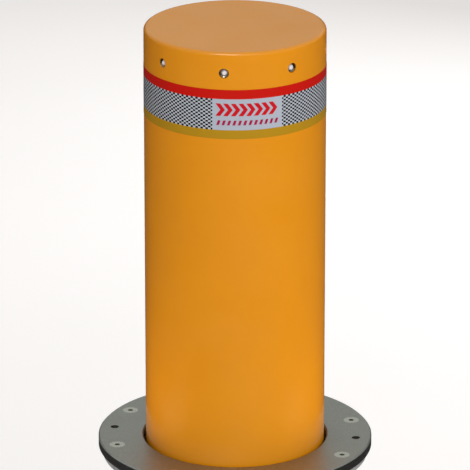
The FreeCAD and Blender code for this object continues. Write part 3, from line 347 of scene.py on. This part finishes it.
def hard_chrome():
    g = Graph("hard_chrome", base_color=(0.72, 0.73, 0.75, 1.0), metallic=1.0)
    grind = g.noise(g.place(), 900.0, 2.0)
    g.put("Roughness", g.spread(grind, 0.3, 0.7, 0.05, 0.12))
    g.put("Normal", g.bump(grind, 0.02, 0.0001))
    return g.material


def dark_chrome():
    """Chrome for the lamp bezels, with fine turning marks. Its dark, warm base colour is painted shade of
    the lamp recess and a painted reflection of the yellow paint round it.
    """
    g = Graph("dark_chrome", metallic=1.0)
    marks = g.noise(g.place(), 1400.0, 2.0)
    # painted shade and painted reflection: the bezel's dark, warm base colour
    g.put("Base Color", g.mix(g.spread(marks, 0.3, 0.7), (0.26, 0.21, 0.16), (0.34, 0.28, 0.22)))
    g.put("Roughness", g.spread(marks, 0.3, 0.7, 0.14, 0.24))
    return g.material


def soft_plastic(name, base, change, roughness, scale, strength):
    """Moulded or rubbery surface: fine grain, and slightly uneven colour and sheen."""
    g = Graph(name, ior=1.46)
    place = g.place()
    grain = g.noise(place, scale, 4.0, 0.6)
    g.put("Base Color", g.mix(g.spread(g.noise(place, 40.0, 3.0), 0.3, 0.7), base, change))
    g.put("Roughness", g.spread(grain, 0.3, 0.7, roughness - 0.06, roughness + 0.08))
    g.put("Normal", g.bump(grain, strength, 0.0003))
    return g.material


def black_rubber():
    return soft_plastic("black_rubber", grey(0.016), grey(0.024), 0.62, 1500.0, 0.25)


def white_plastic():
    return soft_plastic("white_plastic", (0.74, 0.73, 0.68), (0.80, 0.79, 0.75), 0.42, 900.0, 0.08)


def black_plastic():
    return soft_plastic("black_plastic", grey(0.018), grey(0.028), 0.45, 1100.0, 0.12)


def grey_plastic():
    return soft_plastic("grey_plastic", (0.27, 0.285, 0.29), (0.30, 0.315, 0.32), 0.5, 1300.0, 0.15)


def magnet():
    return soft_plastic("magnet", grey(0.05), grey(0.07), 0.4, 1000.0, 0.1)


def ram_paint():
    return soft_plastic("ram_paint", (0.018, 0.02, 0.024), (0.026, 0.028, 0.033), 0.32, 500.0, 0.06)


BOARD_THICKNESS = 1.62 * MM


def circuit_board():
    """Green solder mask over copper tracks; the parts under the board are black."""
    g = Graph("circuit_board")
    _, distance, z = g.around()
    track = g.math("FLOORED_MODULO", g.math("MULTIPLY", distance, 260.0), 1.0)
    lines = g.math("LESS_THAN", track, 0.35)
    mask = g.mix(lines, (0.008, 0.10, 0.03), (0.02, 0.19, 0.06))
    board_low = high_z("lamp_board") - BOARD_THICKNESS
    g.put("Base Color", g.mix(g.math("LESS_THAN", z, board_low), mask, grey(0.02)))
    g.put("Roughness", g.spread(g.noise(g.place(), 300.0), 0.3, 0.7, 0.25, 0.4))
    return g.material


def clear_lens():
    """Moulded epoxy lamp body: mostly milky-bright from its reflector, with a glossy skin."""
    g = Graph("clear_lens", transmission_weight=0.12, ior=1.5)
    cloud = g.noise(g.place(), 420.0, 2.0)
    g.put("Base Color", g.mix(g.spread(cloud, 0.35, 0.65), (0.84, 0.82, 0.88), (0.97, 0.95, 1.0)))
    g.put("Roughness", g.spread(cloud, 0.3, 0.7, 0.05, 0.12))
    return g.material


# ---------------------------------------------------------------- camera, light and floor
CAMERA_AZIMUTH = math.radians(6.9)
CAMERA_PITCH = math.radians(19.652)
CAMERA_DISTANCE = 51.0 * post_radius        # level distance from the post's axis
CAMERA_ABOVE_HEAD = 15.79 * post_radius
CAMERA_LENS = 374.7                         # millimetres, on a sensor SENSOR_WIDTH wide
SENSOR_WIDTH = 36.0
CAMERA_REACH = 50.0
AIM_HEIGHT = 0.25                           # where the lights point


def round_the_post(distance, azimuth, height):
    """A point seen from the axis at that azimuth from the front, towards +X."""
    return Vector((distance * math.sin(azimuth), -distance * math.cos(azimuth), height))


def add_camera():
    data = bpy.data.cameras.new("camera")
    data.sensor_width = SENSOR_WIDTH
    data.lens = CAMERA_LENS
    data.clip_end = CAMERA_REACH
    camera = bpy.data.objects.new("camera", data)
    camera.location = round_the_post(CAMERA_DISTANCE, CAMERA_AZIMUTH, head_top + CAMERA_ABOVE_HEAD)
    camera.rotation_euler = (math.pi / 2 - CAMERA_PITCH, 0.0, CAMERA_AZIMUTH)
    bpy.context.scene.collection.objects.link(camera)
    bpy.context.scene.camera = camera


def add_light(name, azimuth, height, distance, size, power):
    """A rectangular area light at that azimuth from the camera, turned towards the middle of the post."""
    data = bpy.data.lights.new(name, "AREA")
    data.shape = "RECTANGLE"
    data.size, data.size_y = size
    data.energy = power
    light = bpy.data.objects.new(name, data)
    light.location = round_the_post(distance, CAMERA_AZIMUTH + math.radians(azimuth), height)
    towards = Vector((0, 0, AIM_HEIGHT)) - light.location
    light.rotation_euler = towards.to_track_quat("-Z", "Y").to_euler()
    bpy.context.scene.collection.objects.link(light)
    return light


def face_up(light):
    """Turns a light that lies on the ground upwards, unseen by the camera."""
    light.rotation_euler = (math.pi, 0.0, CAMERA_AZIMUTH)
    light.visible_camera = False


BOUNCE_POWER = {-70: 0.26, 70: 0.20}        # by azimuth from the camera
BOUNCE_COLOUR = (1.0, 0.86, 0.62)


def add_lights():
    """A broad key, its glint on the head's rim, a weak light behind, and light thrown up by the ground."""
    key = add_light("key", 18, 2.2, 4.2, (3.4, 2.4), 116.0)
    key.visible_glossy = False
    sheen = add_light("sheen", -14, 4.6, 3.6, (2.6, 2.0), 110.0)
    sheen.visible_diffuse = False
    back = add_light("back", 160, 0.9, 4.2, (3.0, 2.0), 40.0)
    back.visible_glossy = False
    for azimuth, power in BOUNCE_POWER.items():
        bounce = add_light("bounce", azimuth, -0.01, 0.25, (0.14, 0.14), power)
        bounce.data.color = BOUNCE_COLOUR
        bounce.visible_glossy = False
        face_up(bounce)


def add_world():
    """Pale from above, warm and dim at the sides. Reflections see it bright high up, the camera pale."""
    world = bpy.data.worlds.new("studio")
    bpy.context.scene.world = world
    world.use_nodes = True
    g = Nodes(world.node_tree)
    height = g.split(g.coordinates("Generated"))[2]
    ambient = g.mix(g.spread(height, 0.1, 0.9), (0.34, 0.25, 0.18), grey(0.66))
    shine = g.mix(g.spread(height, 0.08, 0.32), grey(0.04), (0.62, 0.66, 0.60))
    light = g.mix(g.seen_by("Glossy"), ambient, shine)
    background = g.tree.nodes["Background"]
    g.feed(background.inputs["Color"], g.mix(g.seen_by("Camera"), light, grey(0.84)))


FLOOR_RADIUS = 12.0
FLOOR_GLOW = 0.24                   # lifts the floor to a pale backdrop for the camera
FLOOR_SHINE_SIZE = 8.0
FLOOR_SHINE_POWER = 70.0


def add_floor():
    """A wide pale floor under the casing. Reflections see it near black: a painted dark reflection, which
    keeps the paint's sides deep.
    """
    mesh = bpy.data.meshes.new("floor")
    build = bmesh.new()
    bmesh.ops.create_circle(build, cap_ends=True, segments=96, radius=FLOOR_RADIUS)
    build.to_mesh(mesh)
    build.free()
    floor = bpy.data.objects.new("floor", mesh)
    floor.location.z = floor_z
    bpy.context.scene.collection.objects.link(floor)
    g = Graph("floor", specular_ior_level=0.0)
    cloud = g.noise(g.place(), 0.9, 3.0)
    pale = g.mix(g.spread(cloud, 0.3, 0.7), grey(0.84), grey(0.87))
    # painted dark reflection: glossy rays see the floor near black, the camera sees it pale
    g.put("Base Color", g.mix(g.seen_by("Glossy"), pale, grey(0.05)))
    g.put("Roughness", g.spread(cloud, 0.3, 0.7, 0.6, 0.7))
    g.put("Emission Color", rgb(grey(1.0)))
    g.put("Emission Strength", g.math("MULTIPLY", g.seen_by("Camera"), FLOOR_GLOW))
    mesh.materials.append(g.material)


def add_floor_shine(metals):
    """Lets bare metal mirror a pale floor, which is itself dark in reflections to keep the paint deep."""
    size = (FLOOR_SHINE_SIZE, FLOOR_SHINE_SIZE)
    shine = add_light("floor_shine", 0.0, floor_z + 1 * MM, 0.0, size, FLOOR_SHINE_POWER)
    shine.visible_diffuse = False
    face_up(shine)
    mirrors = bpy.data.collections.new("mirrors")
    for piece in metals:
        mirrors.objects.link(piece)
    shine.light_linking.receiver_collection = mirrors


# ---------------------------------------------------------------- mesh helpers
def new_object(name, build, material):
    mesh = bpy.data.meshes.new(name)
    build.to_mesh(mesh)
    build.free()
    mesh.materials.append(material)
    for face in mesh.polygons:
        face.use_smooth = True
    made = bpy.data.objects.new(name, mesh)
    bpy.context.scene.collection.objects.link(made)
    return made


def tube(name, points, radius_at, material, sides=12, closed=False):
    """A round tube that follows points. radius_at(k) is its radius at point k."""
    build = bmesh.new()
    count = len(points)
    rings = []
    side = None
    for k, point in enumerate(points):
        before = points[k - 1] if k or closed else point
        after = points[(k + 1) % count] if k < count - 1 or closed else point
        along = (after - before).normalized()
        if side is None:
            side = along.orthogonal().normalized()
        side = (side - along * side.dot(along)).normalized()
        other = along.cross(side)
        radius = radius_at(k)
        rings.append([])
        for s in range(sides):
            turn = 2 * math.pi * s / sides
            out = side * math.cos(turn) + other * math.sin(turn)
            rings[-1].append(build.verts.new(point + out * radius))
    pairs = list(zip(rings, rings[1:]))
    if closed:
        pairs.append((rings[-1], best_start(rings[-1], rings[0])))
    for a, b in pairs:
        for s in range(sides):
            build.faces.new((a[s], a[(s + 1) % sides], b[(s + 1) % sides], b[s]))
    if not closed:
        build.faces.new(rings[0][::-1])
        build.faces.new(rings[-1])
    bmesh.ops.recalc_face_normals(build, faces=build.faces)
    return new_object(name, build, material)


def best_start(last, first):
    """The first ring turned so that its points face the last ring's, so a closed tube doesn't twist shut."""
    sides = len(first)
    turned = [first[s:] + first[:s] for s in range(sides)]
    return min(turned, key=lambda ring: sum((a.co - b.co).length for a, b in zip(last, ring)))


# ---------------------------------------------------------------- weld beads on the casing
WELD_RADIUS = 3.2 * MM
WELD_RIPPLE = 2.4 * MM          # from one ripple to the next
CASING_SECTIONS = 3             # the casing tube is three rings, welded at two seams
LUG_COUNT = 4
LUG_HALF_WIDTH = 25.0 * MM


def ripple(k, step):
    """A weld bead's radius: it swells and pinches with each drop, and wavers a little."""
    along = k * step
    wave = math.sin(2 * math.pi * along / WELD_RIPPLE)
    waver = math.sin(along * 91.0) * 0.6 + math.sin(along * 233.0 + 1.3) * 0.4
    return WELD_RADIUS * (1.0 + 0.10 * wave + 0.06 * waver)


def weld(name, curve, length, material, closed):
    """A bead along curve(t), t from 0 to 1."""
    count = max(8, round(length / (WELD_RIPPLE / 4)))
    last = count if closed else count - 1
    points = [curve(k / last) for k in range(count)]
    bead = tube(name, points, lambda k: ripple(k, length / count), material, sides=8, closed=closed)
    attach(bead, "root")
    return bead


def circle_weld(name, radius, z, material):
    def curve(t):
        return Vector((radius * math.cos(2 * math.pi * t), radius * math.sin(2 * math.pi * t), z))

    return weld(name, curve, 2 * math.pi * radius, material, True)


def stub_weld(name, node, axis, material):
    """The saddle-shaped bead where a pipe stub meets the round casing."""
    low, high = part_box(node)
    radius = (high.z - low.z) / 2
    centre_z = (high.z + low.z) / 2

    def curve(t):
        across = radius * math.cos(2 * math.pi * t)
        out = math.sqrt(casing_radius**2 - across**2) + 0.4 * MM
        up = centre_z + radius * math.sin(2 * math.pi * t)
        return Vector((out, across, up)) if axis == "x" else Vector((across, out, up))

    return weld(name, curve, 2 * math.pi * radius * 1.02, material, True)


def lug_weld(k, material):
    """The bead on top of an anchor lug where it meets the casing."""
    top = high_z("anchor_lugs")
    half = math.asin(LUG_HALF_WIDTH / casing_radius)
    middle = math.pi / 4 + k * math.pi / 2

    def curve(t):
        angle = middle + (2 * t - 1) * half * 0.96
        return Vector((casing_radius * math.cos(angle), casing_radius * math.sin(angle), top))

    return weld("lug_weld_%d" % (k + 1), curve, 2 * half * casing_radius, material, False)


def add_welds(material):
    welds = [
        circle_weld("base_weld", casing_radius, casing_floor, material),
        circle_weld("flange_weld", casing_radius, casing_rim, material),
        stub_weld("drain_weld", "drain_stub", "x", material),
        stub_weld("conduit_weld", "conduit_stub", "y", material),
    ]
    section = (casing_rim - casing_floor) / CASING_SECTIONS
    for k in range(1, CASING_SECTIONS):
        welds.append(circle_weld("casing_weld_%d" % k, casing_radius, casing_floor + k * section, material))
    return welds + [lug_weld(k, material) for k in range(LUG_COUNT)]


# ---------------------------------------------------------------- curly lamp lead
LEAD_RADIUS = 3.0 * MM
COIL_MEAN_RADIUS = 8.0 * MM
COIL_TURNS = 88
COIL_TAIL = 14.0 * MM
STEPS_PER_TURN = 20


def add_coiled_lead(material):
    """The curly lead between the junction box and the crosshead, as a coil of fixed shape."""
    low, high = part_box("coiled_lead")
    centre = (low + high) / 2
    length = high.z - low.z
    steps = COIL_TURNS * STEPS_PER_TURN
    points = []
    for k in range(steps + 1):
        t = k / steps
        z = low.z + length * t
        open_out = min(1.0, (z - low.z) / COIL_TAIL, (high.z - z) / COIL_TAIL)
        radius = COIL_MEAN_RADIUS * math.sin(open_out * math.pi / 2)
        angle = 2 * math.pi * COIL_TURNS * t
        points.append(Vector((centre.x + radius * math.cos(angle), centre.y + radius * math.sin(angle), z)))
    lead = tube("curly_lead", points, lambda k: LEAD_RADIUS, material, sides=8)
    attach(lead, "root")
    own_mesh(lead)
    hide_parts("coiled_lead")
    return lead


# ---------------------------------------------------------------- put together
METAL_SLOTS = ("galvanised_steel", "stainless_steel", "bare_steel", "plated_fasteners", "hard_chrome")

# each function makes the material of the record's slot of the same name
SLOT_MATERIALS = (
    signal_paint,
    reflective_film,
    galvanised_steel,
    stainless_steel,
    bare_steel,
    plated_fasteners,
    hard_chrome,
    dark_chrome,
    ram_paint,
    black_rubber,
    white_plastic,
    black_plastic,
    grey_plastic,
    magnet,
    circuit_board,
    clear_lens,
)


def give_materials():
    """Each CAD node gets the material of its slot in the record, and the ground ring a worn one."""
    made = {maker.__name__: maker() for maker in SLOT_MATERIALS}
    for subpart in frame["record"]["subparts"]:
        mesh = frame["nodes"][subpart["node"]].data
        mesh.materials.clear()
        mesh.materials.append(made[subpart["material_slot"]])
    frame["nodes"]["ground_ring"].data.materials[0] = worn_stainless()
    return made


add_camera()
add_lights()
add_world()
add_floor()
bpy.context.scene.view_settings.view_transform = "Standard"
materials = give_materials()
welds = add_welds(materials["galvanised_steel"])
metals = [materials[slot] for slot in METAL_SLOTS]
add_floor_shine([node for node in frame["nodes"].values() if node.data.materials[0] in metals] + welds)
add_coiled_lead(materials["black_plastic"])
